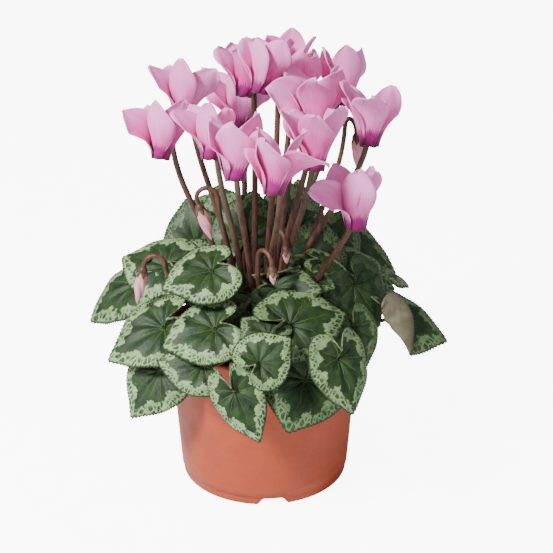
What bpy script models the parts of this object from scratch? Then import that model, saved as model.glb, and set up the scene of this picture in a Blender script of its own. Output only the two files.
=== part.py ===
"""Potted cyclamen: a nursery pot, its soil, the tuber, leaves, flowers and buds.

Metres, +Z up, origin at the middle of the pot's foot. -Y is the front.
The tables below are in millimetres and degrees and are scaled by MM.
"""
import math

import bmesh
import bpy
from mathutils import Vector

MM = 0.001
GAP = 0.3 * MM

# Pot
POT_HEIGHT = 98 * MM
RIM_RADIUS = 60 * MM
BASE_RADIUS = 53.5 * MM
POT_WALL = 1.6 * MM
LIP_WIDTH = 1.2 * MM
LIP_HEIGHT = 3.0 * MM
FOOT_HEIGHT = 5 * MM
FOOT_STEP = 0.7 * MM
FOOT_RING = 4 * MM
DRAIN_RADIUS = 6 * MM
NOTCH_ANGLES = (-84, 36, 156)
NOTCH_WIDTH = 19 * MM
NOTCH_TOP_WIDTH = 13 * MM
NOTCH_HEIGHT = 4.4 * MM

# Soil and tuber
SOIL_TOP = 86 * MM
SOIL_MOUND = 3 * MM
# a flat bun, from the axis on top round to the axis below: radius, height
TUBER_OUTLINE = ((0, 93), (30, 93), (33, 90), (34, 86), (33, 80), (25, 73), (0, 70))
TUBER_MIDDLE = 82
CROWN_TOP = TUBER_OUTLINE[0][1] * MM + GAP

# Leaves
BLADE_THICKNESS = 1.1 * MM
BLADE_COLUMNS = 12
BLADE_ROWS = 3
LEAF_STALK_RADIUS = 1.5 * MM
STALK_FOOT = 2 * MM
# how a leaf stalk meets its blade: share along the blade, share through it
ARRIVAL = (0.2, 0.85)
HANGING_ARRIVAL = (0.85, 0.1)
HANGING_HEIGHT = 112 * MM
LOBE_ANGLE = 166
# how far the margin lies from the stalk, at angles away from the tip
LEAF_OUTLINE = (
    (0, 1.0), (12, 0.93), (30, 0.80), (60, 0.70), (90, 0.66), (120, 0.64), (150, 0.58), (168, 0.48),
)
LEAF_RING = 28.5 * MM
LEAF_RING_SLOPE = 0.1

# Flowers
PETAL_COLUMNS = 2
PETAL_LENGTH = 35 * MM
PETAL_THICKNESS = 0.7 * MM
TUBE_ROWS = ((3.0, 8.6), (4.8, 4.0), (5.2, 0.4), (6.6, 0.8))
# along a free petal: share of its length, half width in millimetres
PETAL_WIDTHS = ((0, 4.1), (0.2, 4.6), (0.4, 6.6), (0.6, 8.6), (0.78, 8.6), (0.92, 5.4), (1, 1.2))
PETAL_ROWS = (0.22, 0.5, 0.78, 1.0)
PETAL_START_ANGLE = 6
# a petal has its full flare by this share of its length, gained by this power
PETAL_FLARED = 0.8
PETAL_FLARE_POWER = 1.3
PETAL_TWIST = 24
PETAL_HOLLOW = 0.12
PETAL_SHIFTS = (0, 0, -17, 29, 6)
STALK_RADIUS = 1.8 * MM
STALK_TOP_RADIUS = 1.45 * MM
CALYX_RADIUS = 3.3 * MM
CALYX_HEIGHT = 9.6 * MM
CALYX_DOME = 2.4 * MM
HOOK_RADIUS = 6.2 * MM
HOOK_START = 4.5 * MM
HOOK_TURN = 176
# how straight a stalk leaves its root and meets its hook, as shares of its height
STALK_RISE = 0.5
STALK_BOW = 0.35
# a bud, from its tip up: height, radius in millimetres
BUD_OUTLINE = ((16, 3.6), (9, 3.3), (3, 1.6), (0, 0.4))
BUD_LENGTH = 22 * MM
BUD_CALYX_RADII = (2.6 * MM, 3.0 * MM)

# name: stalk end, tip, the way the face looks (compass, height),
# width, bend along, bend across, waviness, compass angle of the stalk's root
LEAVES = {
    "leaf_01": ((-62, 12, 135), (-94, 30, 138), (-110, 58), 1.0, 20, 25, 0.05, 158),
    "leaf_02": ((-82, 14, 122), (-117, 11, 101), (-140, 50), 0.85, 20, 25, 0.05, 173),
    "leaf_03": ((-30, -38, 153), (-60, -48, 148), (-90, 60), 1.0, 20, 25, 0.05, -133),
    "leaf_04": ((-60, -38, 116), (-97, -45, 100), (-110, 50), 0.85, 20, 20, 0.05, -158),
    "leaf_05": ((-28, -59, 125), (-60, -65, 119), (-95, 55), 1.0, 20, 20, 0.05, -121),
    "leaf_06": ((-63, -46, 90), (-82, -54, 62), (-115, 28), 0.95, 10, 15, 0.05, -150),
    "leaf_07": ((-35, -68, 105), (-63, -63, 106), (-95, 42), 0.95, 10, 15, 0.05, -111),
    "leaf_08": ((-16, -86, 97), (-2, -97, 69), (-97, 18), 0.7, 10, 35, 0.03, -101),
    "leaf_09": ((-2, -88, 117), (16, -79, 129), (-88, 38), 1.1, 5, 15, 0.05, -90),
    "leaf_10": ((25, -70, 97), (15, -90, 73), (-80, 30), 1.2, 10, 15, 0.04, -62),
    "leaf_11": ((44, -80, 116), (53, -96, 88), (-60, 32), 0.85, 15, 20, 0.06, -48),
    "leaf_12": ((16, -57, 127), (52, -42, 132), (-75, 55), 0.9, 20, 8, 0.05, -78),
    "leaf_14": ((34, -9, 145), (54, -8, 139), (-75, 60), 0.8, 15, 25, 0.05, -3),
    "leaf_15": ((51, 12, 132), (85, 10, 123), (-70, 55), 0.9, 20, 25, 0.05, 18),
    "leaf_16": ((54, 44, 134), (91, 45, 120), (-60, 55), 1.0, 20, 25, 0.05, 45),
    "leaf_18": ((79, -15, 112), (117, -14, 97), (-60, 50), 0.85, 15, 40, 0.03, -13),
    "leaf_19": ((54, -33, 113), (64, -43, 91), (-75, 35), 0.9, 15, 20, 0.05, -24),
    "leaf_20": ((-39, 55, 144), (-62, 84, 148), (-140, 35), 0.9, 15, 20, 0.05, 125),
    "leaf_23": ((21, 58, 142), (22, 68, 172), (-90, 20), 0.8, 10, 15, 0.04, 68),
    "leaf_25": ((-26, -37, 126), (-5, -33, 134), (-85, 45), 0.62, 10, 10, 0.04, -142),
    "leaf_31": ((74, 64, 112), (99, 84, 96), (40, 55), 1.0, 20, 25, 0.05, 56),
    "leaf_32": ((14, 76, 117), (21, 101, 98), (75, 55), 1.0, 20, 25, 0.05, 86),
    "leaf_33": ((-33, 68, 120), (-46, 99, 102), (115, 55), 1.0, 20, 25, 0.05, 110),
    "leaf_34": ((-76, 44, 110), (-106, 62, 88), (150, 50), 1.0, 20, 25, 0.05, 143),
}

# name: mouth, root, lean (compass, tilt), size, flare of the five petals:
# front, right, right back, left back, left
FLOWERS = {
    "flower_01": ((-59, -25, 215), (-20, -8), (-110, 18), 0.93, (18, 22, 22, 35, 64)),
    "flower_02": ((-48, 9, 229), (-17, 4), (-100, 18), 0.92, (15, 50, 20, 20, 50)),
    "flower_03": ((-30, -41, 220), (-11, -10), (-100, 15), 0.85, (16, 16, 20, 30, 58)),
    "flower_04": ((-16, 48, 211), (-12, 14), (-100, 10), 1.0, (10, 35, 38, 45, 40)),
    "flower_05": ((-12, 22, 239), (-6, 8), (-110, 20), 0.9, (48, 28, 20, 25, 45)),
    "flower_06": ((-2, -3, 248), (1, 1), (-130, 15), 0.9, (20, 28, 20, 20, 25)),
    "flower_07": ((17, 58, 236), (5, 20), (90, 20), 0.92, (25, 25, 25, 25, 25)),
    "flower_09": ((49, 30, 231), (12, 14), (-80, 15), 0.95, (18, 14, 20, 20, 18)),
    "flower_10": ((22, 18, 236), (7, 9), (-90, 15), 0.85, (20, 18, 18, 18, 18)),
    "flower_11": ((30, -17, 229), (8, 1), (-90, 18), 1.05, (60, 26, 20, 25, 80)),
    "flower_12": ((-15, -66, 216), (-6, -16), (-90, 18), 1.0, (38, 20, 20, 17, 28)),
    "flower_13": ((6, -80, 213), (1, -12), (-105, 15), 1.0, (50, 97, 25, 18, 12)),
    "flower_14": ((29, -43, 214), (9, -7), (-90, 15), 1.0, (50, 28, 15, 20, 42)),
    "flower_15": ((61, -20, 221), (16, 5), (-95, 22), 1.0, (76, 16, 18, 20, 30)),
    "flower_16": ((53, -48, 180), (23, -15), (-90, 15), 1.0, (18, 8, 12, 14, 75)),
}

# name: tip, root, lean (compass, tilt)
BUDS = {
    "bud_01": ((-31, -14, 161), (-14, -3), (180, -18)),
    "bud_02": ((-76, -28, 126), (-25, -3), (180, 12)),
    "bud_03": ((58, 14, 194), (21, 12), (-60, 10)),
}


def clear_scene():
    for item in list(bpy.data.objects):
        bpy.data.objects.remove(item, do_unlink=True)


def new_collection(name):
    group = bpy.data.collections.new(name)
    bpy.context.scene.collection.children.link(group)
    return group


def material(name, color, roughness):
    made = bpy.data.materials.new(name)
    made.use_nodes = True
    shader = made.node_tree.nodes["Principled BSDF"]
    shader.inputs["Base Color"].default_value = (*color, 1)
    shader.inputs["Roughness"].default_value = roughness
    return made


def add_object(name, mesh, group, finish):
    item = bpy.data.objects.new(name, mesh)
    group.objects.link(item)
    mesh.materials.clear()
    mesh.materials.append(finish)
    mesh.shade_smooth()
    mesh.set_sharp_from_angle(angle=math.radians(45))
    return item


def mesh_from(bm, name):
    mesh = bpy.data.meshes.new(name)
    bm.to_mesh(mesh)
    bm.free()
    return mesh


def compass(angle, height):
    """A unit direction: 0 is +X, -90 the front, height above the level."""
    a = math.radians(angle)
    h = math.radians(height)
    return Vector((math.cos(h) * math.cos(a), math.cos(h) * math.sin(a), math.sin(h)))


def between(table, x):
    """Reads a short table of (x, y) rows, with an even slope between rows."""
    for (x0, y0), (x1, y1) in zip(table, table[1:]):
        if x <= x1:
            return y0 + (y1 - y0) * (x - x0) / (x1 - x0)
    return table[-1][1]


def turned(name, profile, group, finish, steps):
    """Turns a (radius, height) outline, given from the outer top downwards."""
    bm = bmesh.new()
    ring = [bm.verts.new((radius, 0, height)) for radius, height in profile]
    for a, b in zip(ring, ring[1:] + ring[:1]):
        if max(a.co.x, b.co.x) > 0:
            bm.edges.new((a, b))
    item = add_object(name, mesh_from(bm, name), group, finish)
    screw = item.modifiers.new("turn", "SCREW")
    screw.steps = steps
    screw.render_steps = steps
    screw.use_merge_vertices = True
    screw.merge_threshold = 0.00001
    return item


def wall_radius(height):
    return BASE_RADIUS + (RIM_RADIUS - BASE_RADIUS) * height / POT_HEIGHT


def notch_cutter(angle, group, finish):
    bm = bmesh.new()
    bmesh.ops.create_cube(bm, size=1)
    for vert in bm.verts:
        width = NOTCH_TOP_WIDTH if vert.co.z > 0 else NOTCH_WIDTH
        vert.co.y *= width
        vert.co.x = BASE_RADIUS - FOOT_RING / 2 + vert.co.x * FOOT_RING * 3
        vert.co.z = NOTCH_HEIGHT if vert.co.z > 0 else -NOTCH_HEIGHT
    cutter = add_object("notch_cutter", mesh_from(bm, "notch_cutter"), group, finish)
    cutter.rotation_euler.z = math.radians(angle)
    cutter.hide_render = True
    cutter.display_type = "WIRE"
    return cutter


def build_pot(group, cutters, finish):
    floor = FOOT_HEIGHT
    profile = (
        (RIM_RADIUS + LIP_WIDTH, POT_HEIGHT),
        (RIM_RADIUS + LIP_WIDTH, POT_HEIGHT - LIP_HEIGHT),
        (wall_radius(POT_HEIGHT - LIP_HEIGHT), POT_HEIGHT - LIP_HEIGHT - LIP_WIDTH),
        (wall_radius(FOOT_HEIGHT), FOOT_HEIGHT + FOOT_STEP),
        (BASE_RADIUS - FOOT_STEP, FOOT_HEIGHT),
        (BASE_RADIUS - FOOT_STEP, 0),
        (BASE_RADIUS - FOOT_RING, 0),
        (BASE_RADIUS - FOOT_RING, floor),
        (DRAIN_RADIUS, floor),
        (DRAIN_RADIUS, floor + POT_WALL),
        (wall_radius(floor) - POT_WALL, floor + POT_WALL),
        (RIM_RADIUS - POT_WALL, POT_HEIGHT),
    )
    pot = turned("pot", profile, group, finish, 48)
    for angle in NOTCH_ANGLES:
        cut = pot.modifiers.new("notch", "BOOLEAN")
        cut.operation = "DIFFERENCE"
        cut.object = notch_cutter(angle, cutters, finish)


def tuber_outline(grow):
    points = []
    for radius, height in TUBER_OUTLINE:
        out = radius * MM + (grow if radius else 0)
        points.append((out, height * MM + (grow if height > TUBER_MIDDLE else -grow)))
    return points


def build_tuber(group, finish):
    turned("tuber", tuber_outline(0), group, finish, 24)


def build_soil(group, finish):
    floor = FOOT_HEIGHT + POT_WALL + GAP
    clear = POT_WALL + GAP
    socket = [point for point in tuber_outline(GAP) if point[1] < SOIL_TOP + GAP * 2]
    profile = [
        (socket[0][0], SOIL_TOP + SOIL_MOUND),
        (wall_radius(SOIL_TOP) - clear, SOIL_TOP),
        (wall_radius(floor) - clear, floor),
        (0, floor),
    ]
    profile += reversed(socket)
    turned("soil", profile, group, finish, 32)


def bend(length, degrees, full):
    """Bends a straight distance into an arc: distance along, drop."""
    turn = math.radians(degrees) / full
    if abs(turn) < 1e-6:
        return length, 0
    return math.sin(turn * length) / turn, (1 - math.cos(turn * length)) / turn


def blade_point(theta, share, length, width, along, across, wave):
    """A point of the blade in its own frame: +X to the tip, +Z the face."""
    reach = length * share * between(LEAF_OUTLINE, abs(math.degrees(theta)))
    x = reach * math.cos(theta)
    y = reach * math.sin(theta) * width
    ripple = wave * length * share ** 2 * math.sin(4 * theta + 0.6)
    x, drop_x = bend(x, along, length)
    y, drop_y = bend(y, across, length)
    return Vector((x, y, ripple - drop_x - drop_y))


def leaf_frame(stalk_end, tip, face):
    start = Vector(stalk_end) * MM
    forward = Vector(tip) * MM - start
    normal = compass(*face)
    side = normal.cross(forward).normalized()
    normal = forward.cross(side).normalized()
    return start, forward, side, normal


def blade_mesh(name, row):
    stalk_end, tip, face, width, along, across, wave, _ = row
    start, forward, side, normal = leaf_frame(stalk_end, tip, face)
    length = forward.length
    forward = forward.normalized()
    bm = bmesh.new()
    bmesh.ops.create_grid(bm, x_segments=BLADE_COLUMNS, y_segments=BLADE_ROWS, size=0.5)
    for vert in bm.verts:
        theta = math.radians(LOBE_ANGLE) * 2 * vert.co.x
        share = vert.co.y + 0.5
        local = blade_point(theta, share, length, width, along, across, wave)
        vert.co = start + forward * local.x + side * local.y + normal * local.z
    bmesh.ops.remove_doubles(bm, verts=bm.verts, dist=0.00001)
    bmesh.ops.recalc_face_normals(bm, faces=bm.faces)
    if bm.faces[:][0].normal.dot(normal) < 0:
        bmesh.ops.reverse_faces(bm, faces=bm.faces)
    return mesh_from(bm, name)


def curve_tube(name, points, radii, roundness):
    """A tube along a path, made a mesh with its end caps welded on."""
    curve = bpy.data.curves.new(name, "CURVE")
    curve.dimensions = "3D"
    curve.bevel_depth = 1
    curve.bevel_resolution = roundness
    curve.use_fill_caps = True
    spline = curve.splines.new("POLY")
    spline.points.add(len(points) - 1)
    for control, point, radius in zip(spline.points, points, radii):
        control.co = (*point, 1)
        control.radius = radius
    item = bpy.data.objects.new(name, curve)
    bpy.context.scene.collection.objects.link(item)
    bpy.context.view_layer.update()
    mesh = bpy.data.meshes.new_from_object(item.evaluated_get(bpy.context.evaluated_depsgraph_get()))
    bpy.data.objects.remove(item, do_unlink=True)
    bm = bmesh.new()
    bm.from_mesh(mesh)
    bmesh.ops.remove_doubles(bm, verts=bm.verts, dist=0.00001)
    bmesh.ops.recalc_face_normals(bm, faces=bm.faces)
    bm.to_mesh(mesh)
    bm.free()
    return mesh


def cubic(a, b, c, d, t):
    s = 1 - t
    return a * s ** 3 + b * 3 * s * s * t + c * 3 * s * t * t + d * t ** 3


def flower_root(place):
    return Vector((place[0] * MM, place[1] * MM, CROWN_TOP))


def leaf_root(angle, height):
    """Leaf stalks stand in a ring; those of high leaves are further in."""
    radius = LEAF_RING - (height - CROWN_TOP) * LEAF_RING_SLOPE
    return compass(angle, 0) * min(radius, LEAF_RING) + Vector((0, 0, CROWN_TOP))


def leaf_stalk(name, stalk_end, tip, face, root_angle):
    start, forward, side, normal = leaf_frame(stalk_end, tip, face)
    root = leaf_root(root_angle, start.z)
    ahead, below = HANGING_ARRIVAL if start.z < HANGING_HEIGHT else ARRIVAL
    arrive = (forward.normalized() * ahead + normal * below).normalized()
    end = start - normal * BLADE_THICKNESS * 0.5
    span = (end - root).length
    up = Vector((0, 0, 1))
    foot = root + up * STALK_FOOT
    lift = up * (span * 0.28 + max(0, HANGING_HEIGHT - start.z))
    points = [cubic(foot, foot + lift, end - arrive * span * 0.4, end, i / 5) for i in range(6)]
    return curve_tube(name, [root] + points, [LEAF_STALK_RADIUS] * 7, 1)


def build_leaf(name, row, group, cutters, finish):
    stalk_end, tip, face, root_angle = row[0], row[1], row[2], row[7]
    item = add_object(name, blade_mesh(name, row), group, finish)
    wall = item.modifiers.new("thickness", "SOLIDIFY")
    wall.thickness = BLADE_THICKNESS
    wall.offset = -1
    stalk = add_object(name + "_stalk", leaf_stalk(name, stalk_end, tip, face, root_angle), cutters, finish)
    stalk.hide_render = True
    stalk.display_type = "WIRE"
    join = item.modifiers.new("stalk", "BOOLEAN")
    join.operation = "UNION"
    join.object = stalk


def flower_frame(mouth, lean):
    """Front, right and up axes of a nodding flower, and its mouth."""
    azimuth, tilt = lean
    up = -compass(azimuth, tilt - 90)
    front = compass(azimuth, tilt)
    return Vector(mouth) * MM, front, up.cross(front), up


def petal_slope(share, flare):
    gained = min(1, share / PETAL_FLARED) ** PETAL_FLARE_POWER
    return math.radians(PETAL_START_ANGLE + (flare - PETAL_START_ANGLE) * gained)


def petal_spine(share, flare, length):
    """Distance out and up from the mouth's lip, along a curving petal."""
    out = 0
    rise = 0
    steps = 12
    for i in range(steps):
        t = share * (i + 0.5) / steps
        angle = petal_slope(t, flare)
        out += math.sin(angle) * length * share / steps
        rise += math.cos(angle) * length * share / steps
    return out, rise, petal_slope(share, flare)


def petal_twist(share):
    return math.radians(PETAL_TWIST) * min(1, share * 2)


def petal_azimuth(index, share):
    """The back two petals leave a gap for the flower stalk."""
    offset = PETAL_SHIFTS[index]
    return math.radians(72 * index + offset * min(1, share * 5))


def petal_point(index, across, row, flare, size):
    """A point of the corolla: tube rows come first, then the free petal."""
    if row < len(TUBE_ROWS):
        radius, height = TUBE_ROWS[row]
        angle = math.radians(72 * (index + across / 2))
        return Vector((radius * math.cos(angle), radius * math.sin(angle), height)) * MM * size
    share = PETAL_ROWS[row - len(TUBE_ROWS)]
    length = PETAL_LENGTH * size
    out, rise, slope = petal_spine(share, flare, length)
    radius, height = TUBE_ROWS[-1]
    out += radius * MM * size
    rise += height * MM * size
    half = between(PETAL_WIDTHS, share) * MM * size
    twist = petal_twist(share)
    azimuth = petal_azimuth(index, share)
    radial = Vector((math.cos(azimuth), math.sin(azimuth), 0))
    tangent = Vector((-math.sin(azimuth), math.cos(azimuth), 0))
    level = Vector((0, 0, 1))
    normal = radial * math.cos(slope) - level * math.sin(slope)
    sideways = tangent * math.cos(twist) + normal * math.sin(twist)
    hollow = -normal * PETAL_HOLLOW * half * across ** 2
    return radial * out + level * rise + sideways * half * across + hollow


def corolla_mesh(name, row):
    mouth, _, lean, size, flares = row
    origin, front, right, up = flower_frame(mouth, lean)
    rows = len(TUBE_ROWS) + len(PETAL_ROWS) - 1
    bm = bmesh.new()
    for index, flare in enumerate(flares):
        made = bmesh.ops.create_grid(bm, x_segments=PETAL_COLUMNS, y_segments=rows, size=0.5)
        for vert in made["verts"]:
            line = round((vert.co.y + 0.5) * rows)
            local = petal_point(index, vert.co.x * 2, line, flare, size)
            vert.co = origin + front * local.x + right * local.y + up * local.z
    bmesh.ops.remove_doubles(bm, verts=bm.verts, dist=0.00001)
    bmesh.ops.recalc_face_normals(bm, faces=bm.faces)
    return mesh_from(bm, name)


def build_corolla(name, row, group, finish):
    item = add_object(name + "_petals", corolla_mesh(name, row), group, finish)
    wall = item.modifiers.new("thickness", "SOLIDIFY")
    wall.thickness = PETAL_THICKNESS
    wall.offset = 0


def hook_points(top, up, back, turn):
    """The stalk's hook over the flower, from the calyx round to hanging down."""
    points = []
    steps = 4
    for i in range(steps + 1):
        a = math.radians(turn) * i / steps
        points.append(top + (up * math.sin(a) + back * (1 - math.cos(a))) * HOOK_RADIUS)
    a = math.radians(turn)
    heading = up * math.cos(a) + back * math.sin(a)
    return points, heading


def stalk_path(calyx, up, back, tilt, root):
    """Points from the root round the hook to the calyx."""
    top = calyx + up * HOOK_START
    hook, heading = hook_points(top, up, back, HOOK_TURN - tilt)
    end = hook[-1]
    span = (end - root).length
    start = root + Vector((0, 0, 1)) * STALK_FOOT
    above = start + Vector((0, 0, 1)) * span * STALK_RISE
    below = end + heading * span * STALK_BOW
    rise = [cubic(start, above, below, end, i / 5) for i in range(5)]
    return [root] + rise + hook[::-1] + [calyx + up * CALYX_DOME, calyx]


def build_stalk(name, row, group, finish):
    mouth, root, lean, size, _ = row
    origin, front, _, up = flower_frame(mouth, lean)
    calyx = origin + up * CALYX_HEIGHT * size
    points = stalk_path(calyx, up, -front, lean[1], flower_root(root))
    slim = len(points) - 2
    radii = [STALK_RADIUS + (STALK_TOP_RADIUS - STALK_RADIUS) * i / slim for i in range(slim)]
    radii += [CALYX_RADIUS * 0.9, CALYX_RADIUS]
    add_object(name + "_stalk", curve_tube(name + "_stalk", points, radii, 2), group, finish)


def build_bud(name, row, group, finish):
    tip, root, lean = row
    origin, front, _, up = flower_frame(tip, lean)
    calyx = origin + up * BUD_LENGTH
    points = stalk_path(calyx, up, -front, lean[1], flower_root(root))
    radii = [STALK_TOP_RADIUS] * (len(points) - 2) + list(BUD_CALYX_RADII)
    for height, radius in BUD_OUTLINE:
        points.append(origin + up * height * MM)
        radii.append(radius * MM)
    add_object(name, curve_tube(name, points, radii, 2), group, finish)


def main():
    clear_scene()
    plant = new_collection("potted_cyclamen")
    cutters = new_collection("cutters")
    terracotta = material("terracotta_plastic", (0.50, 0.17, 0.11), 0.5)
    earth = material("soil", (0.03, 0.02, 0.015), 0.95)
    bark = material("tuber", (0.12, 0.07, 0.04), 0.8)
    green = material("leaf", (0.06, 0.13, 0.05), 0.5)
    stem = material("stalk", (0.12, 0.05, 0.03), 0.5)
    pink = material("petal", (0.72, 0.30, 0.50), 0.5)
    rose = material("bud", (0.70, 0.35, 0.40), 0.5)
    build_pot(plant, cutters, terracotta)
    build_soil(plant, earth)
    build_tuber(plant, bark)
    for name, row in LEAVES.items():
        build_leaf(name, row, plant, cutters, green)
    for name, row in FLOWERS.items():
        build_corolla(name, row, plant, pink)
        build_stalk(name, row, plant, stem)
    for name, row in BUDS.items():
        build_bud(name, row, plant, rose)


main()
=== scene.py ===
"""Potted cyclamen: the fine shapes, materials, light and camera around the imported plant.

Metres, +Z up, origin at the middle of the pot's foot, -Y is the front.
The tables are in millimetres and degrees and are scaled by MM.
"""

import math
import random

import bmesh
import bpy
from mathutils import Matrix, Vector, noise


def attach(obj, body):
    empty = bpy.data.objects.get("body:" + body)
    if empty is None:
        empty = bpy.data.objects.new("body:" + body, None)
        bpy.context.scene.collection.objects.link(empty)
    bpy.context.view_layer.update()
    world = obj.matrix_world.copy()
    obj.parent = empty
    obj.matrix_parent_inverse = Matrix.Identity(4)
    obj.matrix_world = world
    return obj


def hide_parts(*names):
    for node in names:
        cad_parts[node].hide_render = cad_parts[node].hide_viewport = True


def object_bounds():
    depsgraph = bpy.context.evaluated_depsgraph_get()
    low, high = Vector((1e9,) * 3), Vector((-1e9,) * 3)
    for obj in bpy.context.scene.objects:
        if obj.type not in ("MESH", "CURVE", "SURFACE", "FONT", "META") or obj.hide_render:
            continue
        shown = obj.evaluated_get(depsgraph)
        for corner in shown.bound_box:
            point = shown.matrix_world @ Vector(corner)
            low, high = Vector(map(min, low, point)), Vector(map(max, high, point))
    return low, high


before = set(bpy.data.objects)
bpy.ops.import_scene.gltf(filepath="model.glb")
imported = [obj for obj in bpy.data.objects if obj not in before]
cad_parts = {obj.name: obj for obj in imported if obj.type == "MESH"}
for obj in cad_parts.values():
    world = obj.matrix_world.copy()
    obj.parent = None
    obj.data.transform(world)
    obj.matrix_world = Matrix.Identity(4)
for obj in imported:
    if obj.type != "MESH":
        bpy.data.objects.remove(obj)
cad_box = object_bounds()

MM = 0.001
UP = Vector((0, 0, 1))
# turns a piece's number into its own place in a wave
GOLDEN = 0.618
# corners nearer than this are one corner
WELD = 0.002 * MM

# -------- pot

POT_HEIGHT = 98 * MM
RIM_RADIUS = 60 * MM
BASE_RADIUS = 53.5 * MM
POT_WALL = 1.6 * MM
LIP_WIDTH = 1.2 * MM
LIP_HEIGHT = 3.0 * MM
FOOT_HEIGHT = 5 * MM
FOOT_STEP = 0.7 * MM
FOOT_RING = 4 * MM
DRAIN_RADIUS = 6 * MM
NOTCH_ANGLES = (-84, 36, 156)
NOTCH_WIDTH = 19 * MM
NOTCH_TOP_WIDTH = 13 * MM
NOTCH_HEIGHT = 4.4 * MM
CORNER = 0.35 * MM
# the fillet under the lip, as a share of the lip's width
LIP_FILLET = 0.6
POT_STEPS = 240
WALL_ROWS = 14

# -------- soil and tuber

SOIL_TOP = 86 * MM
SOIL_MOUND = 3 * MM
SOIL_HOLE = 34.2 * MM
SOIL_GAP = 0.3 * MM
SOIL_COLUMNS = 160
SOIL_ROWS = 18
# lumps in the soil: how many to the metre, height
SOIL_LUMPS = ((180, 1.1 * MM), (700, 0.6 * MM))
# loose crumbs: how many, smallest and largest radius in millimetres
CRUMBS = 520
CRUMB_SIZES = (0.4, 1.3)
CRUMB_FLATNESS = (0.5, 0.9)
CRUMB_RAGGEDNESS = (0.75, 1.15)
# the ring that the crumbs lie in, as shares of the soil's area, and their height on it
CRUMB_RING = (0.42, 0.98)
CRUMB_LIFT = 1.2 * MM
CROWN_TOP = 93.3 * MM
TUBER_OUTLINE = ((0, 93), (12, 93), (30, 92.5), (33, 90), (34, 86), (33, 80), (25, 73), (0, 70))
TUBER_STEPS = 48
CORK_GRAIN = 140
ROOT_DEPTH = 1 * MM

# -------- leaves

BLADE_THICKNESS = 0.5 * MM
BLADE_COLUMNS = 168
BLADE_ROWS = 16
TOOTH = 0.013
# shares of the leaf's length: how deep the veins and the middle sink, how far
# the lobes beside the stalk rise and the margin rolls down
QUILT_DEPTH = 0.012
FUNNEL_DEPTH = 0.09
LOBE_RISE = 0.20
MARGIN_ROLL = 0.07
# at the root and at the blade
LEAF_STALK_RADII = (1.725 * MM, 1.125 * MM)
LEAF_STALK_STEPS = 24
LEAF_STALK_RISE = 0.28
LEAF_STALK_BOW = 0.4
LEAF_JOINT_DEPTH = 0.05
STALK_FOOT = 2 * MM
ARRIVAL = (0.2, 0.85)
HANGING_ARRIVAL = (0.85, 0.1)
HANGING_HEIGHT = 112 * MM
LEAF_RING = 28.5 * MM
LEAF_RING_SLOPE = 0.1
LOBE_ANGLE = 172
VEINS = 9
# how far the margin lies from the stalk, at angles away from the tip
LEAF_OUTLINE = (
    (0, 1.0), (5, 0.945), (12, 0.865), (22, 0.80), (40, 0.735), (62, 0.70), (90, 0.68),
    (118, 0.66), (138, 0.62), (152, 0.53), (163, 0.38), (172, 0.16),
)

# name: stalk end, tip, the way the face looks (compass, height),
# width, bend along, bend across, waviness, compass angle of the stalk's root
LEAVES = {
    "leaf_01": ((-62, 12, 135), (-94, 30, 138), (-110, 58), 1.0, 20, 25, 0.05, 158),
    "leaf_02": ((-82, 14, 122), (-117, 11, 101), (-140, 50), 0.85, 20, 25, 0.05, 173),
    "leaf_03": ((-30, -38, 153), (-60, -48, 148), (-90, 60), 1.0, 20, 25, 0.05, -133),
    "leaf_04": ((-60, -38, 116), (-97, -45, 100), (-110, 50), 0.85, 20, 20, 0.05, -158),
    "leaf_05": ((-28, -59, 125), (-60, -65, 119), (-95, 55), 1.0, 20, 20, 0.05, -121),
    "leaf_06": ((-63, -46, 90), (-82, -54, 62), (-115, 28), 0.95, 10, 15, 0.05, -150),
    "leaf_07": ((-35, -68, 105), (-63, -63, 106), (-95, 42), 0.95, 10, 15, 0.05, -111),
    "leaf_08": ((-16, -86, 97), (-2, -97, 69), (-97, 18), 0.7, 10, 35, 0.03, -101),
    "leaf_09": ((-2, -88, 117), (16, -79, 129), (-88, 38), 1.1, 5, 15, 0.05, -90),
    "leaf_10": ((25, -70, 97), (15, -90, 73), (-80, 30), 1.2, 10, 15, 0.04, -62),
    "leaf_11": ((44, -80, 116), (53, -96, 88), (-60, 32), 0.85, 15, 20, 0.06, -48),
    "leaf_12": ((16, -57, 127), (52, -42, 132), (-75, 55), 0.9, 20, 8, 0.05, -78),
    "leaf_14": ((34, -9, 145), (54, -8, 139), (-75, 60), 0.8, 15, 25, 0.05, -3),
    "leaf_15": ((51, 12, 132), (85, 10, 123), (-70, 55), 0.9, 20, 25, 0.05, 18),
    "leaf_16": ((54, 44, 134), (91, 45, 120), (-60, 55), 1.0, 20, 25, 0.05, 45),
    "leaf_18": ((79, -15, 112), (117, -14, 97), (-60, 50), 0.85, 15, 40, 0.03, -13),
    "leaf_19": ((54, -33, 113), (64, -43, 91), (-75, 35), 0.9, 15, 20, 0.05, -24),
    "leaf_20": ((-39, 55, 144), (-62, 84, 148), (-140, 35), 0.9, 15, 20, 0.05, 125),
    "leaf_23": ((21, 58, 142), (22, 68, 172), (-90, 20), 0.8, 10, 15, 0.04, 68),
    "leaf_25": ((-26, -37, 126), (-5, -33, 134), (-85, 45), 0.62, 10, 10, 0.04, -142),
    "leaf_31": ((74, 64, 112), (99, 84, 96), (40, 55), 1.0, 20, 25, 0.05, 56),
    "leaf_32": ((14, 76, 117), (21, 101, 98), (75, 55), 1.0, 20, 25, 0.05, 86),
    "leaf_33": ((-33, 68, 120), (-46, 99, 102), (115, 55), 1.0, 20, 25, 0.05, 110),
    "leaf_34": ((-76, 44, 110), (-106, 62, 88), (150, 50), 1.0, 20, 25, 0.05, 143),
}

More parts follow.
